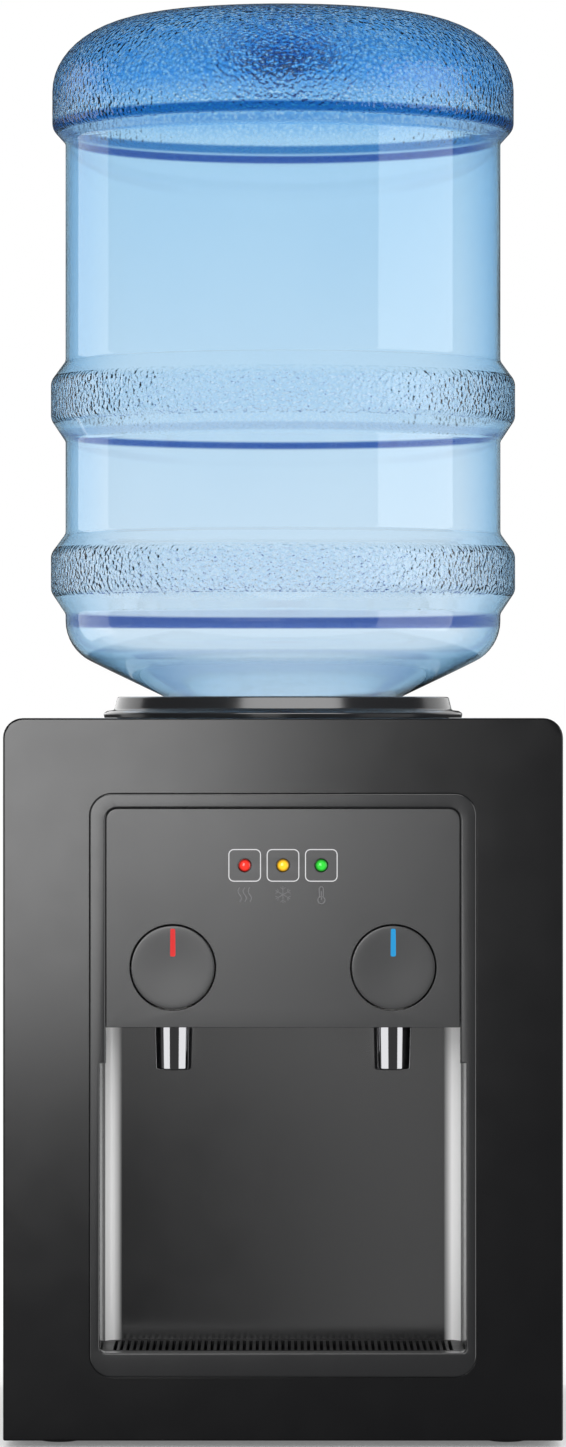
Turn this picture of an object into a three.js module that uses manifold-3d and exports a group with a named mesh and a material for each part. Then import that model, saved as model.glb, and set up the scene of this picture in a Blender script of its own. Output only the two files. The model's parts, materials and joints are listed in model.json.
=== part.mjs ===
// Countertop water dispenser with an inverted bottle: hot and cold taps, boiler and electronic cooler.
// Millimetres. +X right, +Y back, +Z up. Origin on the worktop, under the middle of the casing.
import * as THREE from "three";
import { mergeVertices } from "three/addons/utils/BufferGeometryUtils.js";
import Module from "manifold-3d";

const wasm = await Module();
wasm.setup();

// ---------------------------------------------------------------- driving dimensions
const GAP = 0.3; // between pieces that touch
const HALF_WIDTH = 155;
const FRONT = -160; // foremost plane: the face of the raised bezel
const BACK = 160;
const FOOT_HEIGHT = 4;
const CASE_TOP = 404;
const CASE_CORNER = 11;
const SHEET = 2;

const PANEL_FACE = -158.5; // glossy front panel, just behind the bezel's face
const PANEL_BACK = -153.5;

const BEZEL = { half: 107.3, bottom: 39, top: 362.5, corner: 12.5, back: -150 };
const OPENING = { half: 98.2, bottom: 52.8, top: 354.2, corner: 6.5 };
const BAY = { half: 101.5, step: 213, roof: 232.5, floor: 30, back: -84.5, corner: 9.5, wall: 2.3 };
const LINER_FRONT = -149.7;

const CONTROL_FACE = -159;
const CONTROL_BACK = -156;
const BUTTON = { x: 61, z: 266, radius: 23.2, face: -158.8 };
const BUTTON_RING = 1; // dark ring of air round each button
const LAMP = { pitch: 21.2, z: 322.5, radius: 3.5 };

const SPOUT = { y: -130, top: 236.2, bottom: 208, radius: 10.4, tip: 9.5, bore: 6.6 };

const COLLAR_HOLE = 96.4;
const NECK = { radius: 27.5, bottom: 344.4 };
const BOTTLE = { body: 126, ridge: 134.5, top: 809, wall: 1.6 };
const SEAT_BORE = 33;

const COLD_TANK = { radius: 66, bottom: 236, top: 326, skin: 1.2 };
const COLD_FOAM = 80;
const COLD_PORT = { angle: -50, z: 262 }; // side nozzle, towards the cold tap
const HOT_TANK = { x: -62, y: 20, radius: 40, bottom: 70, top: 190, skin: 1.2 };
const HOT_FOAM = 58;
const FEED = { x: -45, y: 20 }; // cold tank down to hot tank
const VENT = { x: -75, y: 50 };
const HOT_PORT = { x: -87, y: 8 };
const NOZZLE = 3;
const TUBE = { outer: 5, bore: 3.8 };

const FAN = { z: 288, half: 46, bore: 43, front: 129, back: 154 };
const REAR_SKIN = 1.6;
const DRAIN = { x: -62, z: 34 };
const INLET = { x: 88, z: 62 };
const SWITCHES = { x: 88, z: 112, pitch: 24 };
const ROCKER = { width: 18.6, pivot: 154, lean: 9 }; // leans this many degrees either way

// ---------------------------------------------------------------- shape helpers
const AXIS_TURN = {
  x: new THREE.Matrix4().makeRotationZ(-Math.PI / 2),
  y: new THREE.Matrix4(),
  z: new THREE.Matrix4().makeRotationX(Math.PI / 2),
};

// A closed geometry as a solid. Its profile may run either way round.
function solid(geometry) {
  const loose = geometry.index ? geometry.toNonIndexed() : geometry.clone();
  loose.deleteAttribute("normal");
  loose.deleteAttribute("uv");
  const merged = mergeVertices(loose, 1e-4);
  const faces = [];
  const index = merged.index.array;
  for (let i = 0; i < index.length; i += 3) {
    const [a, b, c] = index.subarray(i, i + 3);
    if (a !== b && b !== c && c !== a) faces.push([a, b, c]);
  }
  const build = (triangles) =>
    new wasm.Manifold(
      new wasm.Mesh({
        numProp: 3,
        vertProperties: merged.attributes.position.array,
        triVerts: new Uint32Array(triangles.flat()),
      }),
    );
  const made = build(faces);
  return made.volume() < 0 ? build(faces.map(([a, b, c]) => [a, c, b])) : made;
}

function block([x0, x1], [y0, y1], [z0, z1]) {
  const box = new THREE.BoxGeometry(x1 - x0, y1 - y0, z1 - z0);
  return solid(box.translate((x0 + x1) / 2, (y0 + y1) / 2, (z0 + z1) / 2));
}

// A solid of revolution about a line along x, y or z through a point. The profile is [radius, height].
function turned(axis, at, profile, sides = 28) {
  const points = profile.map(([radius, height]) => new THREE.Vector2(radius, height));
  const lathe = new THREE.LatheGeometry([...points, points[0]], sides);
  return solid(lathe.applyMatrix4(AXIS_TURN[axis]).translate(...at));
}

function rod(axis, at, radius, [from, to], sides = 16) {
  const profile = [[0, from], [radius, from], [radius, to], [0, to]];
  return turned(axis, at, profile, sides);
}

function pipe(axis, at, outer, inner, [from, to], sides = 28) {
  const profile = [[inner, from], [outer, from], [outer, to], [inner, to]];
  return turned(axis, at, profile, sides);
}

// A rectangle with a radius for each corner: lower left, lower right, upper right, upper left.
function roundedRect([u0, u1], [v0, v1], [a, b, c, d]) {
  const shape = new THREE.Shape();
  const arc = (u, v, radius, start) => {
    if (radius > 0) shape.absarc(u, v, radius, start, start + Math.PI / 2, false);
    else shape.lineTo(u, v);
  };
  shape.moveTo(u0 + a, v0);
  arc(u1 - b, v0 + b, b, -Math.PI / 2);
  arc(u1 - c, v1 - c, c, 0);
  arc(u0 + d, v1 - d, d, Math.PI / 2);
  arc(u0 + a, v0 + a, a, Math.PI);
  return shape;
}

// An outline in the x-z plane, given thickness along y.
function upright(shape, [y0, y1], curveSegments = 5) {
  const slab = new THREE.ExtrudeGeometry(shape, { depth: y1 - y0, bevelEnabled: false, curveSegments });
  return solid(slab.rotateX(Math.PI / 2).translate(0, y1, 0));
}

// An outline in the x-y plane, given thickness along z.
function level(shape, [z0, z1], curveSegments = 4) {
  const slab = new THREE.ExtrudeGeometry(shape, { depth: z1 - z0, bevelEnabled: false, curveSegments });
  return solid(slab.translate(0, 0, z0));
}

// A round hose along a smooth line through the given points.
function hose(points, { outer, bore }, steps, curveSegments = 4) {
  const section = new THREE.Shape().absarc(0, 0, outer, 0, 2 * Math.PI, false);
  if (bore) section.holes.push(new THREE.Path().absarc(0, 0, bore, 0, 2 * Math.PI, true));
  const line = new THREE.CatmullRomCurve3(points.map((p) => new THREE.Vector3(...p)));
  const options = { steps, extrudePath: line, bevelEnabled: false, curveSegments };
  return solid(new THREE.ExtrudeGeometry(section, options));
}

const join = (...solids) => solids.reduce((all, next) => all.add(next));
const cut = (body, ...tools) => tools.reduce((rest, tool) => rest.subtract(tool), body);
const range = (count, centre = 0, pitch = 1) =>
  Array.from({ length: count }, (_, i) => centre + (i - (count - 1) / 2) * pitch);

// ---------------------------------------------------------------- finishes
const finish = (color, roughness, metalness = 0) =>
  new THREE.MeshStandardMaterial({ color, roughness, metalness });
const FINISH = {
  glossBlack: () => finish(0x17181a, 0.12),
  frameGrey: () => finish(0x3a3b3d, 0.35),
  controlGrey: () => finish(0x55575a, 0.4),
  bayGrey: () => finish(0x303133, 0.22),
  caseBlack: () => finish(0x1c1d1f, 0.45),
  satinSteel: () => finish(0x24262a, 0.5, 0.4),
  galvanised: () => finish(0x9aa0a5, 0.45, 0.9),
  chrome: () => finish(0x6b6e73, 0.12, 1),
  stainless: () => finish(0xb9bcc0, 0.3, 1),
  aluminium: () => finish(0xc4c7ca, 0.4, 1),
  rubber: () => finish(0x101010, 0.85),
  foam: () => finish(0xf1f1ee, 0.9),
  silicone: () => finish(0xdfe3e6, 0.5),
  whitePlastic: () => finish(0xe9e9e6, 0.5),
  blackPlastic: () => finish(0x141414, 0.5),
  ceramic: () => finish(0xf2f2f0, 0.4),
  board: () => finish(0x1f6b3c, 0.5),
  bottleBlue: () => finish(0x7fb4e6, 0.08),
  capBlue: () => finish(0x2f6fc4, 0.45),
  red: () => finish(0xd93434, 0.3),
  amber: () => finish(0xe6a91e, 0.3),
  green: () => finish(0x2ba83a, 0.3),
  blue: () => finish(0x1e8fd0, 0.3),
};

const dispenser = new THREE.Group();

function section(parent = dispenser, position = [0, 0, 0]) {
  const group = new THREE.Group();
  group.position.set(...position);
  parent.add(group);
  return group;
}

function part(group, name, body, material, position = [0, 0, 0]) {
  const { vertProperties, triVerts } = body.getMesh();
  const geometry = new THREE.BufferGeometry();
  geometry.setAttribute("position", new THREE.BufferAttribute(vertProperties, 3));
  geometry.setIndex(new THREE.BufferAttribute(triVerts, 1));
  geometry.computeVertexNormals();
  const mesh = new THREE.Mesh(geometry, material);
  mesh.name = name;
  mesh.position.set(...position);
  group.add(mesh);
}

// ---------------------------------------------------------------- casing
const casing = section();
const FOOT_PLACES = { x: 125, y: 120 };
const PAN = { half: HALF_WIDTH - SHEET - GAP, front: -151.1, back: 155.7, rim: 22 };

function addBasePan() {
  const { half, front, back, rim } = PAN;
  const outer = block([-half, half], [front, back], [FOOT_HEIGHT, rim]);
  const inner = block(
    [-half + SHEET, half - SHEET],
    [front + SHEET, back - SHEET],
    [FOOT_HEIGHT + SHEET, rim + 1],
  );
  const footHoles = [-1, 1].flatMap((sx) =>
    [-1, 1].map((sy) => rod("z", [sx * FOOT_PLACES.x, sy * FOOT_PLACES.y, 0], 3.6, [0, 8], 8)),
  );
  const airSlots = range(6, 70, 12).map((x) => block([x - 2, x + 2], [75, 120], [0, 8]));
  part(casing, "base_pan", cut(outer, inner, ...footHoles, ...airSlots), FINISH.galvanised());
}

function addFeet() {
  const profile = [[0, 0], [10.5, 0], [12, 1.2], [12, 3.7], [3.2, 3.7], [3.2, 8], [0, 8]];
  const foot = turned("z", [0, 0, 0], profile, 16);
  for (const [side, sx] of [["left", -1], ["right", 1]])
    for (const [end, sy] of [["front", -1], ["rear", 1]])
      part(casing, `foot_${end}_${side}`, foot, FINISH.rubber(), [
        sx * FOOT_PLACES.x,
        sy * FOOT_PLACES.y,
        0,
      ]);
}

const COVER_SKIRT = 384;

function addSidePanels() {
  const top = COVER_SKIRT - GAP;
  const fold = 12;
  for (const [side, s] of [["left", -1], ["right", 1]]) {
    const across = (a, b) => [Math.min(s * a, s * b), Math.max(s * a, s * b)];
    const skin = block(across(HALF_WIDTH - SHEET, HALF_WIDTH), [PANEL_BACK + GAP, BACK], [FOOT_HEIGHT, top]);
    const turnedIn = across(HALF_WIDTH - SHEET - fold, HALF_WIDTH - 1);
    const frontFold = block(turnedIn, [PANEL_BACK + GAP, PAN.front - GAP], [FOOT_HEIGHT, top]);
    const rearFold = block(turnedIn, [PAN.back + GAP, PAN.back + GAP + SHEET], [FOOT_HEIGHT, top]);
    const airSlots = range(8, 70, 13).map((y) =>
      block(across(HALF_WIDTH - SHEET - 1, HALF_WIDTH + 1), [y - 2.2, y + 2.2], [60, 110]),
    );
    const body = cut(join(skin, frontFold, rearFold), ...airSlots);
    part(casing, `${side}_side_panel`, body, FINISH.satinSteel());
  }
}

function addRearPanel() {
  const half = HALF_WIDTH - SHEET - GAP;
  const face = block([-half, half], [BACK - REAR_SKIN, BACK], [FOOT_HEIGHT, COVER_SKIRT - GAP]);
  const through = [BACK - 3, BACK + 1];
  const grille = range(9, 0, 9).flatMap((x) => {
    const reach = Math.sqrt(FAN.bore ** 2 - x ** 2) - 3;
    return [
      block([x - 2.2, x + 2.2], through, [FAN.z + 2, FAN.z + reach]),
      block([x - 2.2, x + 2.2], through, [FAN.z - reach, FAN.z - 2]),
    ];
  });
  const intake = range(9, 0, 9).map((x) => block([x - 2, x + 2], through, [150, 190]));
  const drainHole = rod("y", [DRAIN.x, 0, DRAIN.z], 14, through);
  const inletHole = block([INLET.x - 14, INLET.x + 14], through, [INLET.z - 10.5, INLET.z + 10.5]);
  const switchHole = block(
    [SWITCHES.x - 23.3, SWITCHES.x + 23.3],
    through,
    [SWITCHES.z - 10.3, SWITCHES.z + 10.3],
  );
  const body = cut(face, ...grille, ...intake, drainHole, inletHole, switchHole);
  part(casing, "rear_panel", body, FINISH.satinSteel());
}

function addTopCover() {
  const lid = (inset, bottom, yRange) =>
    upright(
      roundedRect(
        [-HALF_WIDTH + inset, HALF_WIDTH - inset],
        [bottom, CASE_TOP - inset],
        [0, 0, CASE_CORNER - inset, CASE_CORNER - inset],
      ),
      yRange,
    );
  const wall = 2.5;
  const front = PANEL_BACK + GAP;
  const shell = cut(
    lid(0, COVER_SKIRT, [front, BACK]),
    lid(wall, COVER_SKIRT - 1, [front + wall, BACK - wall]),
    rod("z", [0, 0, 0], COLLAR_HOLE, [380, 410], 28),
  );
  part(casing, "top_cover", shell, FINISH.caseBlack());
}

function addFrontPanel() {
  const face = roundedRect(
    [-HALF_WIDTH, HALF_WIDTH],
    [FOOT_HEIGHT, CASE_TOP],
    [0, 0, CASE_CORNER, CASE_CORNER],
  );
  const { half, bottom, top, corner } = BEZEL;
  const window = roundedRect([-half, half], [bottom, top], Array(4).fill(corner));
  const hole = upright(window, [PANEL_FACE - 1, PANEL_BACK + 1]);
  const body = cut(upright(face, [PANEL_FACE, PANEL_BACK]), hole);
  part(casing, "front_panel", body, FINISH.glossBlack());
}

addBasePan();
addFeet();
addSidePanels();
addRearPanel();
addTopCover();
addFrontPanel();

// ---------------------------------------------------------------- front frame, bay and drip tray
const front = section();

function addBezel() {
  const { half, bottom, top, corner, back } = BEZEL;
  const outer = roundedRect(
    [-half + GAP, half - GAP],
    [bottom + GAP, top - GAP],
    Array(4).fill(corner - GAP),
  );
  const upper = roundedRect(
    [-OPENING.half, OPENING.half],
    [OPENING.bottom, OPENING.top],
    [0, 0, OPENING.corner, OPENING.corner],
  );
  const lower = block([-BAY.half, BAY.half], [FRONT - 1, back + 1], [OPENING.bottom, BAY.step]);
  const body = cut(upright(outer, [FRONT, back]), upright(upper, [FRONT - 1, back + 1]), lower);
  part(front, "bezel_frame", body, FINISH.frameGrey());
}

function addControlPanel() {
  const face = roundedRect(
    [-OPENING.half + GAP, OPENING.half - GAP],
    [BAY.roof + GAP, OPENING.top - GAP],
    [0, 0, OPENING.corner - GAP, OPENING.corner - GAP],
  );
  const through = [CONTROL_FACE - 1, CONTROL_BACK + 1];
  const buttonHoles = [-1, 1].map((s) =>
    rod("y", [s * BUTTON.x, 0, BUTTON.z], BUTTON.radius + BUTTON_RING, through, 24),
  );
  const lampHoles = range(3, 0, LAMP.pitch).map((x) =>
    rod("y", [x, 0, LAMP.z], LAMP.radius + GAP, through, 12),
  );
  const body = cut(upright(face, [CONTROL_FACE, CONTROL_BACK]), ...buttonHoles, ...lampHoles);
  part(front, "control_panel", body, FINISH.controlGrey());
}

function addBayLiner() {
  const { half, roof, floor, back, corner, wall } = BAY;
  const shell = level(
    roundedRect(
      [-half - wall, half + wall],
      [LINER_FRONT, back + wall],
      [0, 0, corner + wall, corner + wall],
    ),
    [floor - wall, roof + wall],
  );
  const room = (yFront, zRange) =>
    level(roundedRect([-half, half], [yFront, back], [0, 0, corner, corner]), zRange);
  const lip = 2;
  const spoutHoles = [-1, 1].map((s) =>
    rod("z", [s * BUTTON.x, SPOUT.y, 0], SPOUT.radius + 0.6, [roof - 1, roof + wall + 1]),
  );
  const body = cut(
    shell,
    room(LINER_FRONT - 1, [49, roof]),
    room(LINER_FRONT + lip, [floor, 50]),
    ...spoutHoles,
  );
  part(front, "bay_liner", body, FINISH.bayGrey());
}

const TRAY = { half: 100.9, front: -147.3, back: -85.2, corner: 8.8, top: 49, wall: 2 };

function addDripTray() {
  const { half, front: yFront, back, corner, top, wall } = TRAY;
  const outline = (inset) =>
    roundedRect(
      [-half + inset, half - inset],
      [yFront + inset, back - inset],
      [2, 2, corner - inset, corner - inset],
    );
  const bottom = BAY.floor + GAP;
  const tray = cut(level(outline(0), [bottom, top]), level(outline(wall), [bottom + wall, top + 1]));
  part(front, "drip_tray", tray, FINISH.blackPlastic());

  const plate = level(outline(0), [top + GAP, OPENING.bottom - GAP]);
  const slots = range(16, 0, 12).map((x) =>
    block([x - 3, x + 3], [yFront + 6, back - 6], [top, OPENING.bottom + 1]),
  );
  part(front, "drip_grid", cut(plate, ...slots), FINISH.blackPlastic());
}

addBezel();
addControlPanel();
addBayLiner();
addDripTray();

// ---------------------------------------------------------------- taps and buttons
const BARREL = { radius: 15, front: -138, back: -104, pocket: -126, bore: -109 };
const SPRING = { radius: 7.3, wire: 0.7, turns: 4 };
const BUTTON_UNDERSIDE = -155.5;

// All of one tap, in a group whose origin is on the tap's centre line at the button's height.
function addTap(side, s, markFinish) {
  const group = section(dispenser, [s * BUTTON.x, 0, BUTTON.z]);
  const { radius, face } = BUTTON;
  const skirt = -149;
  const post = 5.6;
  const postEnd = -147;
  const cap = turned(
    "y",
    [0, 0, 0],
    [
      [0, face + 0.8], [14, face + 0.4], [21.6, face], [radius, face + 0.7], [radius, skirt],
      [radius - 1.5, skirt], [radius - 1.5, BUTTON_UNDERSIDE], [post, BUTTON_UNDERSIDE], [post, postEnd],
      [0, postEnd],
    ],
    24,
  );
  const mark = { half: 1.5, low: 6, high: 21.6 };
  const pocket = block(
    [-mark.half - GAP, mark.half + GAP],
    [face - 1, face + 1.3],
    [mark.low - GAP, mark.high + GAP],
  );
  part(group, `${side}_button`, cut(cap, pocket), FINISH.controlGrey());
  const strip = block([-mark.half, mark.half], [face + 0.1, face + 1], [mark.low, mark.high]);
  part(group, `${side}_button_mark`, strip, markFinish);

  const stem = turned(
    "y",
    [0, 0, 0],
    [
      [0, -146.7], [5.2, -146.7], [5.2, -143.5], [4.5, -143.5], [4.5, -122.5],
      [3.2, -122.5], [3.2, -120.5], [4.5, -120.5], [4.5, -117], [0, -117],
    ],
    12,
  );
  part(group, `${side}_valve_stem`, stem, FINISH.whitePlastic());

  const coils = [];
  const stepsPerTurn = 7;
  const springFront = BUTTON_UNDERSIDE + GAP + SPRING.wire;
  const springBack = BARREL.pocket - GAP - SPRING.wire;
  for (let i = 0; i <= SPRING.turns * stepsPerTurn; i++) {
    const angle = (i / stepsPerTurn) * 2 * Math.PI;
    const y = springFront + ((springBack - springFront) * i) / (SPRING.turns * stepsPerTurn);
    coils.push([SPRING.radius * Math.cos(angle), y, SPRING.radius * Math.sin(angle)]);
  }
  const wire = hose(coils, { outer: SPRING.wire }, SPRING.turns * stepsPerTurn, 3);
  part(group, `${side}_button_spring`, wire, FINISH.stainless());

  // Valve body: barrel along y, foot on the bay's roof, outlet down into the spout, hose nozzle behind.
  const roofTop = BAY.roof + BAY.wall + GAP - BUTTON.z;
  const spoutTop = SPOUT.top + GAP - BUTTON.z;
  const body = cut(
    join(
      rod("y", [0, 0, 0], BARREL.radius, [BARREL.front, BARREL.back]),
      block([-17, 17], [-142, -113], [spoutTop + 1, spoutTop + 4]),
      block([-17, -14], [-142, -113], [roofTop, spoutTop + 2]),
      block([14, 17], [-142, -113], [roofTop, spoutTop + 2]),
      rod("z", [0, SPOUT.y, 0], 11.3, [spoutTop, -8]),
      rod("z", [0, SPOUT.y, 0], SPOUT.bore - 0.4, [226 - BUTTON.z, -8]),
      rod("y", [0, 0, 0], NOZZLE, [BARREL.back - 1, -92], 10),
    ),
    rod("y", [0, 0, 0], 8.4, [BARREL.front - 1, BARREL.pocket]),
    rod("y", [0, 0, 0], 5, [BARREL.front - 1, BARREL.bore], 12),
    rod("y", [0, 0, 0], 1.8, [BARREL.bore - 1, -91], 6),
    rod("z", [0, SPOUT.y, 0], 4.2, [220 - BUTTON.z, 0], 8),
  );
  part(group, `${side}_tap_body`, body, FINISH.whitePlastic());

  const spout = turned(
    "z",
    [0, SPOUT.y, -BUTTON.z],
    [
      [SPOUT.bore, SPOUT.top], [SPOUT.radius, SPOUT.top], [SPOUT.radius, 228],
      [SPOUT.tip, SPOUT.bottom], [SPOUT.bore, SPOUT.bottom],
    ],
    24,
  );
  part(group, `${side}_spout`, spout, FINISH.chrome());
}

addTap("hot", -1, FINISH.red());
addTap("cold", 1, FINISH.blue());

// ---------------------------------------------------------------- indicator lamps
function addIndicators() {
  const { radius } = LAMP;
  const lamp = turned(
    "y",
    [0, 0, 0],
    [
      [0, -148.2], [radius + 0.7, -148.2], [radius + 0.7, -150], [radius, -150], [radius, -158.2],
      [radius * 0.8, -159.4], [0, FRONT],
    ],
    14,
  );
  const colours = [["red", FINISH.red()], ["yellow", FINISH.amber()], ["green", FINISH.green()]];
  range(3, 0, LAMP.pitch).forEach((x, i) => {
    const [colour, material] = colours[i];
    part(front, `${colour}_led`, lamp, material, [x, 0, LAMP.z]);
  });
  const board = block([-36, 36], [-147.9, -146.3], [LAMP.z - 10, LAMP.z + 10]);
  const plug = block([-10, 10], [-147, -140], [LAMP.z - 8, LAMP.z - 2]);
  part(front, "indicator_board", join(board, plug), FINISH.board());
}

addIndicators();

// ---------------------------------------------------------------- bottle and its seat
const top = section();
const CENTRE = [0, 0, 0];

// One moulded ring round the bottle: ramp out, flat crest, ramp back in.
function ridge(low, crestLow, crestHigh, high) {
  const { body, ridge: crest } = BOTTLE;
  return [
    [body, low],
    [crest - 1.2, crestLow - 4],
    [crest, crestLow + 1],
    [crest, crestHigh - 1],
    [crest - 1.2, crestHigh + 4],
    [body, high],
  ];
}

function bottleOutline() {
  const corner = { radius: 75.7, z: 767, reach: 58, rise: 42 };
  const shoulder = [];
  for (const share of [0, 0.25, 0.5, 0.75, 1]) {
    const angle = (share * Math.PI) / 2;
    shoulder.push([
      corner.radius + corner.reach * Math.cos(angle),
      corner.z + corner.rise * Math.sin(angle),
    ]);
  }
  return [
    [NECK.radius, NECK.bottom], [NECK.radius, 388], [28.2, 393], [30.8, 397.4], [36, 400.8], [72.2, 418.1],
    [100, 432], [113.1, 439], [120.6, 445.9], [BOTTLE.body, 462],
    ...ridge(464.5, 477.3, 499.3, 510.9),
    ...ridge(564.3, 577, 599, 609.5),
    [BOTTLE.body, 737], [131, 742.5], [133.7, 754.4],
    ...shoulder,
    [67, 806.5], [52, 801], [38, 791], [22, 781.5], [0, 778.5],
  ];
}

// The outline moved inwards by the wall's thickness, square to each stretch.
function inset(outline, wall) {
  return outline.map(([radius, z], i) => {
    const [r0, z0] = outline[Math.max(i - 1, 0)];
    const [r1, z1] = outline[Math.min(i + 1, outline.length - 1)];
    const length = Math.hypot(r1 - r0, z1 - z0);
    return [Math.max(radius - (wall * (z1 - z0)) / length, 0), z + (wall * (r1 - r0)) / length];
  });
}

function addBottle() {
  const outer = bottleOutline();
  const inner = inset(outer, BOTTLE.wall);
  inner[0] = [NECK.radius - 2.5, NECK.bottom];
  inner[1] = [NECK.radius - 2.5, 388];
  inner[inner.length - 1][0] = 0;
  const shell = turned("z", CENTRE, [...outer, ...inner.reverse()], 24);
  part(top, "bottle", shell, FINISH.bottleBlue());

  const cap = [
    [10.6, 341.5], [30.4, 341.5], [30.4, 366], [27.9, 366], [27.9, 344], [12.2, 344], [12.2, 356],
    [10.6, 356],
  ];
  part(top, "bottle_cap", turned("z", CENTRE, cap, 20), FINISH.capBlue());
}

function addSeat() {
  const collar = [
    [93.2, 398], [96.1, 398], [96.1, CASE_TOP + GAP], [103.6, CASE_TOP + GAP], [104, 406.8],
    [102, 408.2], [97.8, 408.8], [95.4, 416.4], [93.2, 416.4],
  ];
  part(top, "bottle_collar", turned("z", CENTRE, collar), FINISH.caseBlack());

  const funnel = [
    [SEAT_BORE, 318], [35.5, 318], [35.5, 393], [43, 400], [63.5, 409.6], [67.5, 406], [92, 406],
    [92, 408.4], [69.8, 408.4], [66.8, 414.2], [65.6, 414.2], [45, 404.3], [36, 399], [SEAT_BORE, 394],
  ];
  part(top, "bottle_seat", turned("z", CENTRE, funnel, 20), FINISH.whitePlastic());

  const spike = [
    [6.2, 330], [SEAT_BORE - 0.4, 330], [SEAT_BORE - 0.4, 333], [12.5, 333], [9.5, 338], [9.5, 379],
    [7.8, 384], [6.2, 384],
  ];
  const drains = range(6, 0, 60).map((degrees) => {
    const angle = THREE.MathUtils.degToRad(degrees);
    return rod("z", [22 * Math.cos(angle), 22 * Math.sin(angle), 0], 4.5, [328, 336], 6);
  });
  const windows = [
    block([-20, 20], [-2.5, 2.5], [362, 374]),
    block([-2.5, 2.5], [-20, 20], [362, 374]),
  ];
  const probe = cut(turned("z", CENTRE, spike, 16), ...drains, ...windows);
  part(top, "seat_probe", probe, FINISH.whitePlastic());
}

addBottle();
addSeat();

// ---------------------------------------------------------------- cold side
const cold = section();

// A rod or pipe laid along a horizontal direction from the middle of the cold tank.
function radial(build, degrees, z) {
  const turn = new THREE.Matrix4().makeRotationZ(THREE.MathUtils.degToRad(degrees));
  const lift = new THREE.Matrix4().makeTranslation(0, 0, z);
  return build.transform(lift.multiply(turn).elements);
}

function addColdTank() {
  const { radius, bottom, top: lid, skin } = COLD_TANK;
  const mouth = 36;
  const shell = [
    [0, bottom], [radius, bottom], [radius, lid], [mouth, lid], [mouth, lid - skin],
    [radius - skin, lid - skin], [radius - skin, bottom + skin], [0, bottom + skin],
  ];
  const ventPort = [-45.5, 25.4, 0];
  const body = cut(
    join(
      turned("z", CENTRE, shell),
      rod("z", [FEED.x, FEED.y, 0], NOZZLE, [bottom - 16, bottom + 0.6], 8),
      rod("z", ventPort, NOZZLE, [lid - 0.6, lid + 13], 8),
      radial(rod("x", CENTRE, NOZZLE, [radius - 0.8, radius + 18], 8), COLD_PORT.angle, COLD_PORT.z),
    ),
    rod("z", [FEED.x, FEED.y, 0], 1.9, [bottom - 20, bottom + 3], 6),
    rod("z", ventPort, 1.9, [lid - 3, lid + 14], 6),
    radial(rod("x", CENTRE, 1.9, [radius - 4, radius + 20], 6), COLD_PORT.angle, COLD_PORT.z),
  );
  part(cold, "cold_tank", body, FINISH.stainless());

  const base = bottom - 13;
  const foam = [
    [0, base], [COLD_FOAM, base], [COLD_FOAM, lid + 1], [radius + 0.8, lid + 1],
    [radius + 0.8, bottom - 0.6], [0, bottom - 0.6],
  ];
  const jacket = cut(
    turned("z", CENTRE, foam),
    rod("z", [FEED.x, FEED.y, 0], TUBE.outer + 0.5, [base - 2, bottom], 10),
    radial(rod("x", CENTRE, TUBE.outer + 0.6, [radius, COLD_FOAM + 3], 10), COLD_PORT.angle, COLD_PORT.z),
    block([-27, 27], [40, COLD_FOAM + 3], [256, 320]),
  );
  part(cold, "cold_tank_insulation", jacket, FINISH.foam());
}

function addCooler() {
  const chillBlock = cut(
    block([-25, 25], [55, 90], [262, 314]),
    rod("z", CENTRE, COLD_TANK.radius + GAP, [250, 330], 36),
  );
  part(cold, "cold_block", chillBlock, FINISH.aluminium());
  part(cold, "peltier_module", block([-20, 20], [90.3, 94.3], [268, 308]), FINISH.ceramic());
  const fins = range(9, 0, 11.8).map((x) => block([x - 0.9, x + 0.9], [100, 128], [240, 336]));
  const sink = join(block([-50, 50], [94.6, 101], [240, 336]), ...fins);
  part(cold, "heat_sink", sink, FINISH.aluminium());
}

function addFan() {
  const { z, half, bore, front: near, back: far } = FAN;
  const shroud = cut(
    upright(roundedRect([-half, half], [z - half, z + half], Array(4).fill(5)), [near, far], 3),
    rod("y", [0, 0, z], bore, [near - 1, far + 1], 28),
    ...[-1, 1].flatMap((sx) =>
      [-1, 1].map((sz) => rod("y", [sx * 41.2, 0, z + sz * 41.2], 2.2, [near - 1, far + 1], 6)),
    ),
  );
  const arms = [
    block([-bore - 1, bore + 1], [149, far], [z - 2.5, z + 2.5]),
    block([-2.5, 2.5], [149, far], [z - bore - 1, z + bore + 1]),
  ];
  const motorMount = rod("y", [0, 0, z], 19, [148.5, far], 16);
  part(cold, "fan_frame", join(shroud, ...arms, motorMount), FINISH.blackPlastic());

  const hub = rod("y", [0, 0, z], 18, [131, 147.5], 16);
  const blades = range(7, 0, 360 / 7).map((degrees) => {
    const blade = new THREE.BoxGeometry(25, 14, 1.6).rotateX(THREE.MathUtils.degToRad(52));
    blade.translate(17 + 12, 139.2, 0);
    blade.rotateY(THREE.MathUtils.degToRad(degrees)).translate(0, 0, z);
    return solid(blade);
  });
  part(cold, "fan_rotor", join(hub, ...blades), FINISH.blackPlastic());
}

addColdTank();
addCooler();
addFan();

// ---------------------------------------------------------------- hot side
const hot = section(dispenser, [HOT_TANK.x, HOT_TANK.y, 0]);
const fromHot = (port) => [port.x - HOT_TANK.x, port.y - HOT_TANK.y, 0];

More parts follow.
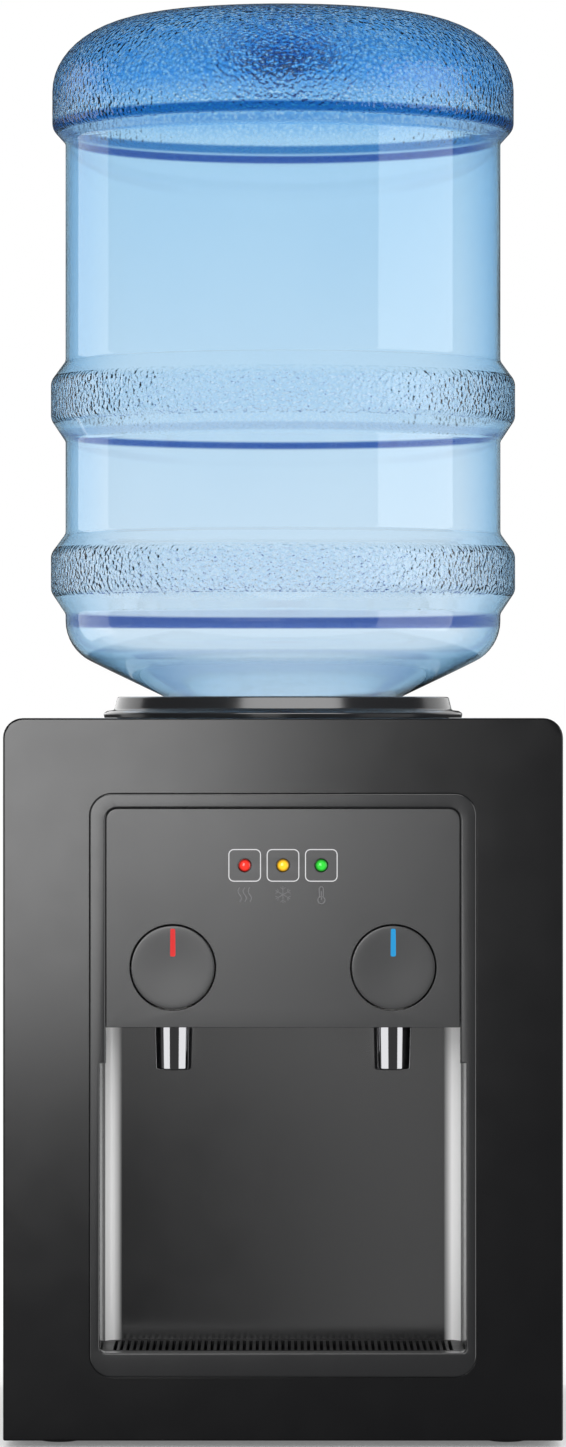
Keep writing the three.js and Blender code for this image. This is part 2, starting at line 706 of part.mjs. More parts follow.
function addHotTank() {
  const { radius, bottom, top: lid, skin } = HOT_TANK;
  const shell = [
    [0, bottom], [radius - 4, bottom], [radius, bottom + 4], [radius, lid - 4], [radius - 4, lid], [0, lid],
  ];
  const hollow = [
    [0, bottom + skin], [radius - 4.5, bottom + skin], [radius - skin, bottom + 4.5],
    [radius - skin, lid - 4.5], [radius - 4.5, lid - skin], [0, lid - skin],
  ];
  const topPorts = [FEED, VENT, HOT_PORT].map(fromHot);
  const body = cut(
    join(
      turned("z", CENTRE, shell, 24),
      ...topPorts.map((at) => rod("z", at, NOZZLE, [lid - 0.6, lid + 11], 8)),
      rod("z", CENTRE, NOZZLE, [bottom - 13, bottom + 0.6], 8),
    ),
    turned("z", CENTRE, hollow, 24),
    ...topPorts.map((at) => rod("z", at, 1.9, [lid - 3, lid + 15], 6)),
    rod("z", CENTRE, 1.9, [bottom - 17, bottom + 3], 6),
  );
  part(hot, "hot_tank", body, FINISH.stainless());

  const foam = [
    [0, 56], [HOT_FOAM, 56], [HOT_FOAM, 196], [46.5, 196], [46.5, 68], [0, 68],
  ];
  const jacket = cut(turned("z", CENTRE, foam), rod("z", CENTRE, TUBE.outer + 0.6, [50, 70], 10));
  part(hot, "hot_tank_insulation", jacket, FINISH.foam());

  const band = cut(
    pipe("z", CENTRE, 44, radius + 0.4, [92, 152]),
    block([-2, 2], [-50, -30], [90, 154]),
  );
  part(hot, "heater_band", band, FINISH.galvanised());

  const disc = [[0, lid + GAP], [8, lid + GAP], [8, lid + 6], [5.5, lid + 7], [5.5, lid + 12], [0, lid + 12]];
  const snapDisc = turned("z", CENTRE, disc, 14);
  part(hot, "control_thermostat", snapDisc, FINISH.ceramic(), [0, -22, 0]);
  part(hot, "cutout_thermostat", snapDisc, FINISH.ceramic(), [12, 22, 0]);
}

addHotTank();

// ---------------------------------------------------------------- hoses and drain
const plumbing = section();

function addHoses() {
  const silicone = (name, points, steps) =>
    part(plumbing, name, hose(points, TUBE, steps), FINISH.silicone());
  const { x, y, top: lid, bottom } = HOT_TANK;
  const tapRear = BARREL.back + 0.5;

  silicone("hot_feed_tube", [[FEED.x, FEED.y, COLD_TANK.bottom - 1.2], [FEED.x, FEED.y, lid + 1]], 1);
  silicone(
    "vent_tube",
    [
      [VENT.x, VENT.y, lid + 1], [VENT.x, VENT.y, lid + 18], [-76, 51, 300], [-73, 48, 338], [-62, 38.5, 356],
      [-50, 29, 355], [-45.5, 25.4, 343], [-45.5, 25.4, COLD_TANK.top + 1],
    ],
    15,
  );
  silicone(
    "hot_outlet_tube",
    [
      [HOT_PORT.x, HOT_PORT.y, lid + 1], [HOT_PORT.x, HOT_PORT.y, lid + 10], [HOT_PORT.x, 5, lid + 22],
      [-89, -16, 238], [-86, -45, 256],
      [-75, -66, BUTTON.z], [-64, -80, BUTTON.z], [-BUTTON.x, -92, BUTTON.z],
      [-BUTTON.x, tapRear, BUTTON.z],
    ],
    14,
  );
  const angle = THREE.MathUtils.degToRad(COLD_PORT.angle);
  const outFrom = (radius) => [radius * Math.cos(angle), radius * Math.sin(angle), COLD_PORT.z];
  silicone(
    "cold_outlet_tube",
    [
      outFrom(COLD_TANK.radius + 1.2), outFrom(84), [58.7, -78, 264.5], [BUTTON.x, -90, BUTTON.z],
      [BUTTON.x, tapRear, BUTTON.z],
    ],
    8,
  );
  silicone(
    "drain_tube",
    [
      [x, y, bottom - 1.2], [x, y, 53], [x, y + 6, 41], [x, y + 20, DRAIN.z], [x, 110, DRAIN.z],
      [x, 144.5, DRAIN.z],
    ],
    12,
  );
}

function addDrain() {
  const at = [DRAIN.x, 0, DRAIN.z];
  const fitting = turned(
    "y",
    at,
    [
      [1.9, 134], [NOZZLE, 134], [NOZZLE, 145], [11, 145], [11, 148], [7.6, 148], [7.6, 156], [1.9, 156],
    ],
    14,
  );
  part(plumbing, "drain_fitting", fitting, FINISH.whitePlastic());
  const cap = turned(
    "y",
    at,
    [[8, 148.6], [12, 148.6], [12, BACK - 1], [11, BACK], [0, BACK], [0, 157], [8, 157]],
    16,
  );
  part(plumbing, "drain_cap", cap, FINISH.blackPlastic());
}

addHoses();
addDrain();

// ---------------------------------------------------------------- electrics
const electrics = section();

function addPowerBoard() {
  const floor = FOOT_HEIGHT + SHEET + GAP;
  const boardZ = [26, 27.6];
  const corners = [-1, 1].flatMap((sx) => [-1, 1].map((sy) => [85 + sx * 50, 5 + sy * 50]));
  const board = join(
    block([30, 140], [-50, 60], boardZ),
    ...corners.map(([x, y]) => rod("z", [x, y, 0], 3.5, [floor, 26.5], 6)),
    block([48, 84], [-30, 4], [27, 56]),
    block([96, 100], [-34, 40], [27, 52]),
    block([110, 134], [-44, -30], [27, 38]),
    block([40, 64], [44, 56], [27, 38]),
    rod("z", [118, 0, 0], 9, [27, 54], 12),
    rod("z", [118, 26, 0], 9, [27, 54], 12),
    rod("z", [60, 24, 0], 7, [27, 46], 10),
  );
  part(electrics, "power_board", board, FINISH.board());
}

function addPowerInlet() {
  const { x, z } = INLET;
  const around = (halfX, halfZ, yRange) => block([x - halfX, x + halfX], yRange, [z - halfZ, z + halfZ]);
  const pinShape = (px, pz) => block([px - 1, px + 1], [143, 156], [pz - 2, pz + 2]);
  const shell = cut(
    join(around(13.7, 10.2, [140, BACK - GAP]), around(24, 14, [155, BACK - REAR_SKIN - GAP])),
    around(12.2, 8.4, [144, BACK + 1]),
  );
  const body = join(shell, pinShape(x - 7, z - 2), pinShape(x + 7, z - 2), pinShape(x, z + 2));
  part(electrics, "power_inlet", body, FINISH.blackPlastic());
}

function addSwitches() {
  const { x, z, pitch } = SWITCHES;
  const around = (cx, halfX, halfZ, yRange) =>
    block([cx - halfX, cx + halfX], yRange, [z - halfZ, z + halfZ]);
  const housing = cut(
    join(around(x, 23, 10, [138, BACK - GAP]), around(x, 26, 13, [155.6, BACK - REAR_SKIN - GAP])),
    ...range(2, x, pitch).map((cx) => around(cx, 9.8, 8.8, [146, BACK + 1])),
  );
  part(electrics, "switch_housing", housing, FINISH.blackPlastic());

  // Each rocker tilts about a line along x. Its two faces meet in a shallow V, and no corner of it
  // is further from that line than its two ends are, so it turns clear of its well.
  const profile = [
    [3.4, 0], [4.6, 7], [0, 8.4], [-4, 3], [-6.5, 2], [-6.5, -2], [-4, -3], [0, -8.4], [4.6, -7],
  ];
  const outline = new THREE.Shape(profile.map(([deep, high]) => new THREE.Vector2(deep, high)));
  const rockerBody = () => {
    const slab = new THREE.ExtrudeGeometry(outline, { depth: ROCKER.width, bevelEnabled: false });
    slab.applyMatrix4(
      new THREE.Matrix4().makeBasis(
        new THREE.Vector3(0, 1, 0),
        new THREE.Vector3(0, 0, 1),
        new THREE.Vector3(1, 0, 0),
      ),
    );
    slab.translate(-ROCKER.width / 2, 0, 0);
    return solid(slab.rotateX(-THREE.MathUtils.degToRad(ROCKER.lean)).translate(0, ROCKER.pivot, 0));
  };
  const colours = { heat: FINISH.red(), cool: FINISH.green() };
  Object.entries(colours).forEach(([name, material], i) => {
    part(electrics, `${name}_switch`, rockerBody(), material, [x + (i - 0.5) * pitch, 0, z]);
  });
}

addPowerBoard();
addPowerInlet();
addSwitches();

export default dispenser;
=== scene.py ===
"""Countertop water dispenser: the finished look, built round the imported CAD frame.

Shapes are worked out in millimetres and turned into metres as each mesh is made.
+X is right, +Y is back and +Z is up, with the origin on the worktop under the casing.
"""

import json
import math

import bmesh
import bpy
from mathutils import Matrix, Vector


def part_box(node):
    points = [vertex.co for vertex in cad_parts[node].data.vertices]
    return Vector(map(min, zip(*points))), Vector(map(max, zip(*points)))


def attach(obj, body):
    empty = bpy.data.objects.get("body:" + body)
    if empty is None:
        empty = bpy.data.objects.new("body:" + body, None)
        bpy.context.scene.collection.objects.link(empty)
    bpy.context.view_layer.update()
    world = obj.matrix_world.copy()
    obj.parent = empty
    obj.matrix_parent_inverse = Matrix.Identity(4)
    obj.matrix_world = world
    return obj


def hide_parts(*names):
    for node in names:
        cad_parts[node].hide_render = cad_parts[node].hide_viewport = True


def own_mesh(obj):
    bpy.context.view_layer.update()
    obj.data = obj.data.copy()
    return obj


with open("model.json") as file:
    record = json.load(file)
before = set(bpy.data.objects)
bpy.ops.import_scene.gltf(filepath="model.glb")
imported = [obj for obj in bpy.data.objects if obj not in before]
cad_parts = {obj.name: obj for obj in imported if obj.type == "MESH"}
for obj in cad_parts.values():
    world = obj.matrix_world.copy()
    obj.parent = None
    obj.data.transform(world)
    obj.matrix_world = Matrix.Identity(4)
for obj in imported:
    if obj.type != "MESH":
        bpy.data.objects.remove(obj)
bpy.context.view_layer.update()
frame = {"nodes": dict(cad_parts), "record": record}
NODES = frame["nodes"]
MM = 0.001


def span(node):
    """The lowest and highest corner of a CAD node, in millimetres."""
    low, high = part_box(node)
    return low / MM, high / MM


# ---------------------------------------------------------------- measures taken from the frame
PANEL = span("front_panel")
BEZEL = span("bezel_frame")
CONTROL = span("control_panel")
LINER = span("bay_liner")
TRAY = span("drip_tray")
GRID = span("drip_grid")
BUTTON = span("cold_button")
MARK = span("cold_button_mark")
SPOUT = span("cold_spout")
LAMP = span("yellow_led")
BOTTLE = span("bottle")

TAP_X = (BUTTON[0].x + BUTTON[1].x) / 2
TAP_Z = (BUTTON[0].z + BUTTON[1].z) / 2
SPOUT_Y = (SPOUT[0].y + SPOUT[1].y) / 2
LAMP_Z = (LAMP[0].z + LAMP[1].z) / 2
LAMP_PITCH = (span("green_led")[0].x - span("red_led")[0].x) / 2
LENS_RADIUS = (LAMP[1].x - LAMP[0].x) / 2 - 0.7
HAIRLINE = 0.3  # air left between the pieces that touch

# ---------------------------------------------------------------- outlines
ARC_STEPS = 8


def arc(u, v, radius, start, steps=ARC_STEPS, sweep=90):
    """Points along an arc about (u, v), angles in degrees, anticlockwise."""
    turns = [math.radians(start + sweep * i / steps) for i in range(steps + 1)]
    return [(u + radius * math.cos(t), v + radius * math.sin(t)) for t in turns]


def rounded(u, v, radii, steps=ARC_STEPS):
    """A rectangle over the ranges u and v. Radii: lower left, lower right, upper right, upper left."""
    a, b, c, d = radii
    return (
        arc(u[0] + a, v[0] + a, a, 180, steps)
        + arc(u[1] - b, v[0] + b, b, 270, steps)
        + arc(u[1] - c, v[1] - c, c, 0, steps)
        + arc(u[0] + d, v[1] - d, d, 90, steps)
    )


def circle(u, v, radius, steps=48):
    return arc(u, v, radius, 0, steps, 360)[:-1]


def offset(loop, distance):
    """An anticlockwise loop moved inwards by a distance, square to each of its edges."""
    moved = []
    for i, here in enumerate(loop):
        point = Vector(here)
        before = (point - Vector(loop[i - 1])).normalized()
        after = (Vector(loop[(i + 1) % len(loop)]) - point).normalized()
        square = Vector((-before.y - after.y, before.x + after.x))
        share = 1 + before.dot(after)
        moved.append(point + square * (distance / max(share, 0.2)))
    return moved


def fillet(corners, steps=6):
    """A line of (radius, height, rounding) corners, each rounded by an arc."""
    line = []
    for i, (r, h, rounding) in enumerate(corners):
        here = Vector((r, h))
        if rounding == 0 or i in (0, len(corners) - 1):
            line.append(here)
            continue
        back = (Vector(corners[i - 1][:2]) - here).normalized()
        on = (Vector(corners[i + 1][:2]) - here).normalized()
        half = back.angle(on) / 2
        centre = here + (back + on).normalized() * (rounding / math.sin(half))
        first = here + back * (rounding / math.tan(half)) - centre
        last = here + on * (rounding / math.tan(half)) - centre
        bend = math.pi - 2 * half
        for k in range(steps + 1):
            share = k / steps
            line.append(
                centre
                + first * (math.sin((1 - share) * bend) / math.sin(bend))
                + last * (math.sin(share * bend) / math.sin(bend))
            )
    return line


def edge_levels(near, far, edge, steps=3):
    """(inset, depth) from a plate's far face to its near face, with both edges rounded."""
    toward = 1 if near > far else -1
    turns = [math.pi / 2 * i / steps for i in range(steps + 1)]
    back = [(edge * (1 - math.sin(t)), far + toward * edge * (1 - math.cos(t))) for t in turns]
    front = [(edge * (1 - math.cos(t)), near - toward * edge * (1 - math.sin(t))) for t in turns]
    return back + front


# ---------------------------------------------------------------- meshes
def upright(u, v, depth):
    """Places an outline drawn in x-z, with its depth along y."""
    return (u, depth, v)


def level(u, v, depth):
    """Places an outline drawn in x-y, with its depth along z."""
    return (u, v, depth)


def bridge(mesh, lower, upper):
    """Faces between two rings of the same count, or between a ring and a single point."""
    count = max(len(lower), len(upper))
    for i in range(count):
        k = (i + 1) % count
        corners = [
            lower[i % len(lower)], lower[k % len(lower)],
            upper[k % len(upper)], upper[i % len(upper)],
        ]
        unique = list(dict.fromkeys(corners))
        if len(unique) > 2:
            mesh.faces.new(unique)


def cap(mesh, rings):
    """A flat face filled between the first ring and the holes that the others make in it."""
    edges = [mesh.edges.get((ring[i - 1], ring[i])) for ring in rings for i in range(len(ring))]
    bmesh.ops.triangle_fill(mesh, use_beauty=True, edges=edges)


def loft(mesh, loop, levels, place):
    """Rings of one outline at several (inset, depth) levels, bridged in order."""
    rings = []
    for inset, depth in levels:
        rings.append([mesh.verts.new(place(u, v, depth)) for u, v in offset(loop, inset)])
    for lower, upper in zip(rings, rings[1:]):
        bridge(mesh, lower, upper)
    return rings


def tub(mesh, loop, levels, place):
    """A lofted solid closed by a flat cap at each end."""
    rings = loft(mesh, loop, levels, place)
    cap(mesh, [rings[0]])
    cap(mesh, [rings[-1]])


def plate(mesh, outer, holes, near, far, edge, place=upright, hole_edge=None):
    """A flat panel with holes, whose edges are rounded."""
    ends = [loft(mesh, outer, edge_levels(near, far, edge), place)]
    for hole in holes:
        levels = [(-inset, depth) for inset, depth in edge_levels(near, far, hole_edge or edge)]
        ends.append(loft(mesh, hole, levels, place))
    cap(mesh, [rings[0] for rings in ends])
    cap(mesh, [rings[-1] for rings in ends])


def lathe(mesh, profile, at=(0, 0, 0), axis="z", segments=96):
    """A closed (radius, height) profile turned about a line along y or z."""
    rings = []
    for radius, height in profile:
        count = 1 if radius < 1e-6 else segments
        ring = []
        for i in range(count):
            angle = 2 * math.pi * i / segments
            x, other = radius * math.cos(angle), radius * math.sin(angle)
            point = (x, other, height) if axis == "z" else (x, height, other)
            ring.append(mesh.verts.new(Vector(at) + Vector(point)))
        rings.append(ring)
    for i, ring in enumerate(rings):
        bridge(mesh, rings[i - 1], ring)


def tube(mesh, points, radius, sides=8):
    """A round wire along a line of points, closed at both ends."""
    rings = []
    for i, point in enumerate(points):
        ahead = (points[min(i + 1, len(points) - 1)] - points[max(i - 1, 0)]).normalized()
        across = ahead.cross(Vector((0, 1, 0)) if abs(ahead.y) < 0.9 else Vector((0, 0, 1))).normalized()
        up = across.cross(ahead)
        turns = [2 * math.pi * k / sides for k in range(sides)]
        spokes = [radius * (across * math.cos(t) + up * math.sin(t)) for t in turns]
        rings.append([mesh.verts.new(point + spoke) for spoke in spokes])
    for lower, upper in zip(rings, rings[1:]):
        bridge(mesh, lower, upper)
    cap(mesh, [rings[0]])
    cap(mesh, [rings[-1]])


SHARP_ANGLE = 32  # degrees between faces, above which an edge is shaded sharp


def keep_faces_flat(obj):
    """Shades flat faces flat, right up to the rounds beside them."""
    weighted = obj.modifiers.new("flat_faces", "WEIGHTED_NORMAL")
    weighted.keep_sharp = True


def piece(name, body, slot, build, *replaced, material=None, sharp=SHARP_ANGLE):
    """A new piece from a function that fills a mesh in millimetres, in its slot's finish or its own."""
    made = bmesh.new()
    build(made)
    bmesh.ops.remove_doubles(made, verts=made.verts, dist=1e-4)
    bmesh.ops.recalc_face_normals(made, faces=made.faces)
    mesh = bpy.data.meshes.new(name)
    made.to_mesh(mesh)
    made.free()
    mesh.transform(Matrix.Scale(MM, 4))
    mesh.shade_smooth()
    mesh.set_sharp_from_angle(angle=math.radians(sharp))
    mesh.materials.append(material or FINISHES[slot])
    obj = bpy.data.objects.new(name, mesh)
    bpy.context.scene.collection.objects.link(obj)
    keep_faces_flat(obj)
    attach(obj, body)
    if replaced:
        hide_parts(*replaced)
    return obj


# ---------------------------------------------------------------- materials
class Shader:
    """One procedural material on a Principled shader, with its textures in the object's own metres."""

    def __init__(self, name, **values):
        self.material = bpy.data.materials.new(name)
        self.material.use_nodes = True
        self.tree = self.material.node_tree
        self.surface = self.tree.nodes["Principled BSDF"]
        self.place = self.node("TexCoord").outputs["Object"]
        for key, value in values.items():
            self.surface.inputs[key.replace("_", " ")].default_value = value

    def node(self, kind, inputs=(), **settings):
        made = self.tree.nodes.new(f"ShaderNode{kind}")
        for key, value in settings.items():
            setattr(made, key, value)
        for key, value in dict(inputs).items():
            if isinstance(value, bpy.types.NodeSocket):
                self.tree.links.new(value, made.inputs[key])
            else:
                made.inputs[key].default_value = value
        return made

    def drive(self, key, socket):
        self.tree.links.new(socket, self.surface.inputs[key])

    def noise(self, scale, detail=3.0, stretch=(1, 1, 1)):
        moved = self.node("Mapping", {"Vector": self.place, "Scale": stretch}).outputs[0]
        return self.node("TexNoise", {"Vector": moved, "Scale": scale, "Detail": detail}).outputs["Fac"]

    def spread(self, source, low, high, start=0.3, end=0.7):
        ranges = {"Value": source, "From Min": start, "From Max": end, "To Min": low, "To Max": high}
        return self.node("MapRange", ranges).outputs[0]

    def between(self, source, low, high, soft):
        """1 where the source lies between two limits, fading to 0 outside them."""
        rise = self.spread(source, 0, 1, low - soft, low)
        return self.times(rise, self.spread(source, 1, 0, high, high + soft))

    def times(self, first, second):
        return self.node("Math", {0: first, 1: second}, operation="MULTIPLY").outputs[0]

    def plus(self, first, second):
        return self.node("Math", {0: first, 1: second}, operation="ADD", use_clamp=True).outputs[0]

    def mix(self, share, first, second, blend="MIX"):
        made = self.node("Mix", data_type="RGBA", blend_type=blend)
        for socket, value in zip((made.inputs[0], made.inputs[6], made.inputs[7]), (share, first, second)):
            if isinstance(value, bpy.types.NodeSocket):
                self.tree.links.new(value, socket)
            else:
                socket.default_value = value
        return made.outputs[2]

    def bump(self, height, strength, distance, below=None):
        inputs = {"Height": height, "Strength": strength, "Distance": distance}
        if below:
            inputs["Normal"] = below
        return self.node("Bump", inputs).outputs[0]


def tint(colour, factor):
    return (*[min(channel * factor, 1) for channel in colour], 1)


def moulded(name, colour, roughness, mottle=0.12, wear=0.06, grain=0.0, pitch=0.0012, **values):
    """Moulded plastic, rubber, paint or metal: slow colour drift, handled gloss and a fine grain."""
    shader = Shader(name, Roughness=roughness, **values)
    slow = shader.noise(14, 4)
    shader.drive("Base Color", shader.mix(slow, tint(colour, 1 - mottle), tint(colour, 1 + mottle)))
    handled = shader.noise(45, 5)
    shader.drive("Roughness", shader.spread(handled, roughness - wear, roughness + wear))
    if grain:
        shader.drive("Normal", shader.bump(shader.noise(1 / pitch, 2), grain, 0.0001))
    return shader.material


def brushed(name, colour, roughness, stretch=(1, 1, 40), **values):
    """Metal with a fine grain drawn along the directions that stretch leaves at 1."""
    shader = Shader(name, Roughness=roughness, Metallic=1.0, **values)
    lines = shader.noise(90, 4, stretch)
    shader.drive("Base Color", shader.mix(lines, tint(colour, 0.86), tint(colour, 1.1)))
    shader.drive("Roughness", shader.spread(lines, roughness - 0.07, roughness + 0.1))
    shader.drive("Normal", shader.bump(lines, 0.08, 0.0001))
    return shader.material


def spangled(name, colour, roughness):
    """Hot-dip galvanised sheet, with its crystal spangle."""
    shader = Shader(name, Roughness=roughness, Metallic=0.9)
    cells = shader.node("TexVoronoi", {"Vector": shader.place, "Scale": 120.0}).outputs["Color"]
    shade = shader.node("SeparateColor", {"Color": cells}).outputs[0]
    shader.drive("Base Color", shader.mix(shade, tint(colour, 0.75), tint(colour, 1.15)))
    shader.drive("Roughness", shader.spread(shade, roughness - 0.1, roughness + 0.12, 0, 1))
    return shader.material


def lamp_plastic(name, colour, glow, x):
    """A tinted lamp lens centred on x, lit a little from inside and dark round its rim."""
    shader = Shader(name, Roughness=0.08, Emission_Strength=glow)
    cloud = shader.mix(shader.noise(260, 3), tint(colour, 0.8), tint(colour, 1.1))
    centre = (x * MM, 0, LAMP_Z * MM)
    across = shader.node("VectorMath", {0: shader.place, 1: centre}, operation="SUBTRACT").outputs[0]
    flat = shader.node("VectorMath", {0: across, 1: (1, 0, 1)}, operation="MULTIPLY").outputs[0]
    away = shader.node("VectorMath", {0: flat}, operation="LENGTH").outputs["Value"]
    rim = shader.spread(away, 0, 1, 0.55 * LENS_RADIUS * MM, LENS_RADIUS * MM)
    core = shader.mix(rim, cloud, tint(colour, 0.12))
    shader.drive("Base Color", core)
    shader.drive("Emission Color", core)
    return shader.material


PAINTED_REFLECTION_BAND = (91.0, 100.2)  # distance from the middle, in millimetres, that the painted reflection bands cover


def bay_plastic():
    """Dark satin plastic with a painted reflection: a bright band down each rear corner of the bay, painted
    brighter on the right than on the left.
    """
    shader = Shader("bay_plastic", Roughness=0.2, Specular_IOR_Level=0.5)
    axes = shader.node("SeparateXYZ", {"Vector": shader.place})
    side = shader.node("Math", {0: axes.outputs["X"]}, operation="ABSOLUTE").outputs[0]
    # painted reflection: a bright band over each rear corner, standing in for the lights mirrored there
    inner, outer = (edge * MM for edge in PAINTED_REFLECTION_BAND)
    deep = shader.spread(axes.outputs["Y"], 0, 1, -0.0985, -0.0965)
    fade = shader.spread(side, 0, 1, inner, inner + 0.0045)
    band = shader.times(shader.times(fade, shader.spread(side, 1, 0, outer, outer + 0.0006)), deep)
    cloud = shader.noise(16, 4)
    dark = shader.mix(cloud, (0.008, 0.0082, 0.009, 1), (0.011, 0.0113, 0.012, 1))
    streaks = shader.noise(60, 3, (1, 1, 0.05))
    # the right band is painted brighter than the left, following how the light falls
    left_painted_reflection = shader.mix(streaks, (0.68, 0.68, 0.68, 1), (0.80, 0.80, 0.80, 1))
    right_painted_reflection = shader.mix(streaks, (0.90, 0.90, 0.90, 1), (0.98, 0.98, 0.98, 1))
    painted_reflection = shader.mix(shader.spread(axes.outputs["X"], 0, 1, -0.01, 0.01), left_painted_reflection, right_painted_reflection)
    shader.drive("Base Color", shader.mix(band, dark, painted_reflection))
    shader.drive("Roughness", shader.spread(shader.noise(40, 4), 0.145, 0.165))
    return shader.material


PEBBLED = ((0.478, 0.499), (0.578, 0.598), (0.746, 0.806))  # heights of the bottle's rough bands
PAINTED_SHADE_RINGS = ((0.4575, 0.4641), (0.5663, 0.5693), (0.7379, 0.7415))  # heights of dark rings of painted shade on the rear half, where the ridge edges show dark through the bottle
PAINTED_SHOULDER_SHADE = (0.7440, 0.7480)  # a paler ring of painted shade all round, just over the highest of them
CROWN_START = (0.752, 0.765)  # heights between which the bottle's side gives way to its domed end


def bottle_plastic():
    """Clear blue polycarbonate, pebbled on its raised bands, with painted shade in the pebbles' pits and in
    dark rings at the ridge edges and the shoulder; deeper in colour where it is thicker, at the middle of its
    base and where its sides are seen edge-on.
    """
    shader = Shader("bottle_plastic", Roughness=0.03, IOR=1.58, Transmission_Weight=1.0)
    axes = shader.node("SeparateXYZ", {"Vector": shader.place})
    height = axes.outputs["Z"]
    drift = shader.noise(9, 4)
    upper = shader.mix(drift, (0.59, 0.79, 0.94, 1), (0.65, 0.84, 0.97, 1))
    lower = shader.mix(drift, (0.77, 0.88, 0.965, 1), (0.83, 0.92, 0.99, 1))
    wall = shader.mix(shader.spread(height, 0, 1, 0.46, 0.74), lower, upper)

    edge_on = shader.node("LayerWeight").outputs["Facing"]
    crown = shader.spread(height, 0, 1, *CROWN_START)
    side_on = shader.times(shader.spread(edge_on, 0, 1, 0.42, 0.8), shader.spread(height, 1, 0, *CROWN_START))
    wall = shader.mix(side_on, wall, (0.46, 0.76, 0.97, 1), "MULTIPLY")

    # painted shade: dark rings on the rear half only, where the ridge edges show dark through the bottle
    behind = shader.spread(axes.outputs["Y"], 0.2, 1, -0.03, 0.05)
    for low, high in PAINTED_SHADE_RINGS:
        ring = shader.times(shader.between(height, low, high, 0.0012), behind)
        wall = shader.mix(ring, wall, (0.006, 0.09, 0.40, 1), "MULTIPLY")
    # painted shade: a paler dark ring all round the shoulder fillet
    shoulder_shade = shader.between(height, *PAINTED_SHOULDER_SHADE, 0.0015)
    wall = shader.mix(shoulder_shade, wall, (0.05, 0.28, 0.56, 1), "MULTIPLY")

    flat = shader.node("CombineXYZ", {"X": axes.outputs["X"], "Y": axes.outputs["Y"]}).outputs[0]
    away = shader.node("VectorMath", {0: flat}, operation="LENGTH").outputs["Value"]
    gate = shader.times(shader.spread(away, 1, 0, 0.020, 0.046), shader.spread(height, 0, 1, 0.764, 0.772))
    wall = shader.mix(gate, wall, (0.02, 0.07, 0.45, 1), "MULTIPLY")

    bands = 0.0
    for low, high in PEBBLED:
        bands = shader.plus(bands, shader.between(height, low + 0.001, high - 0.001, 0.004))
    cells = shader.node(
        "TexVoronoi",
        {"Vector": shader.place, "Scale": 420.0, "Smoothness": 0.35},
        feature="SMOOTH_F1",
    ).outputs["Distance"]
    # painted shade in the pits between the pebbles, strongest on the domed end
    deep_in = shader.times(bands, shader.spread(crown, 0.15, 1, 0, 1))
    painted_pit_shade = shader.times(shader.spread(cells, 0, 1, 0.28, 0.56), deep_in)
    shader.drive("Base Color", shader.mix(painted_pit_shade, wall, (0.24, 0.58, 0.90, 1), "MULTIPLY"))
    ripple = shader.bump(shader.noise(24, 2, (1, 1, 0.3)), 0.12, 0.001)
    relief = shader.times(shader.times(cells, bands), shader.spread(crown, 1, 0.5, 0, 1))
    shader.drive("Normal", shader.bump(relief, 0.75, 0.001, ripple))
    return shader.material


FINISHES = {
    "front_gloss": moulded("front_gloss", (0.0045, 0.0046, 0.0052), 0.17, wear=0.01),
    "frame_plastic": moulded("frame_plastic", (0.012, 0.0122, 0.0128), 0.18, wear=0.01),
    "control_plastic": moulded("control_plastic", (0.034, 0.0343, 0.0352), 0.20, mottle=0.06, wear=0.008),
    "bay_plastic": bay_plastic(),
    "cover_plastic": moulded("cover_plastic", (0.010, 0.0105, 0.0115), 0.17, wear=0.03),
    "case_steel": moulded("case_steel", (0.017, 0.0175, 0.019), 0.42, grain=0.25, pitch=0.0016),
    "galvanised_steel": spangled("galvanised_steel", (0.42, 0.44, 0.46), 0.4),
    "rubber": moulded("rubber", (0.012, 0.012, 0.012), 0.82, grain=0.2),
    "black_plastic": moulded("black_plastic", (0.014, 0.014, 0.015), 0.45, grain=0.12),
    "white_plastic": moulded("white_plastic", (0.74, 0.74, 0.72), 0.42, mottle=0.04, grain=0.05),
    "bottle_plastic": bottle_plastic(),
    "cap_plastic": moulded("cap_plastic", (0.03, 0.15, 0.55), 0.42, grain=0.1),
    "dark_chrome": moulded("dark_chrome", (0.60, 0.60, 0.62), 0.06, mottle=0.04, wear=0.01, Metallic=1.0),
    "stainless": brushed("stainless", (0.52, 0.53, 0.55), 0.3),
    "aluminium": brushed("aluminium", (0.6, 0.62, 0.64), 0.38, (1, 30, 1)),
    "foam": moulded("foam", (0.80, 0.80, 0.77), 0.9, grain=0.8, pitch=0.003),
    "silicone": moulded("silicone", (0.66, 0.69, 0.72), 0.4, mottle=0.06),
    "ceramic": moulded("ceramic", (0.80, 0.80, 0.77), 0.35, mottle=0.05, grain=0.1),
    "circuit_board": moulded("circuit_board", (0.02, 0.15, 0.06), 0.4, mottle=0.3),
    "red_plastic": moulded("red_plastic", (0.72, 0.035, 0.035), 0.25, mottle=0.08),
    "amber_plastic": lamp_plastic("amber_plastic", (0.85, 0.45, 0.02), 0.5, 0),
    "green_plastic": moulded("green_plastic", (0.03, 0.45, 0.05), 0.25, mottle=0.08),
    "blue_plastic": moulded("blue_plastic", (0.012, 0.30, 0.65), 0.25, mottle=0.08),
}
LAMP_RED = lamp_plastic("red_lens", (0.75, 0.03, 0.02), 0.5, -LAMP_PITCH)
LAMP_GREEN = lamp_plastic("green_lens", (0.03, 0.50, 0.04), 0.4, LAMP_PITCH)
PRINT_GREY = moulded("print_grey", (0.56, 0.56, 0.57), 0.5)
PRINT_DIM = moulded("print_dim", (0.15, 0.15, 0.155), 0.5)


# ---------------------------------------------------------------- front
OPENING = {"half": 98.2, "bottom": 52.8, "top": 354.2, "corner": 6.5}
BAY = {"half": 101.5, "step": 213.0, "roof": 232.5, "floor": 30.0, "back": -84.5, "corner": 9.5, "wall": 2.3}


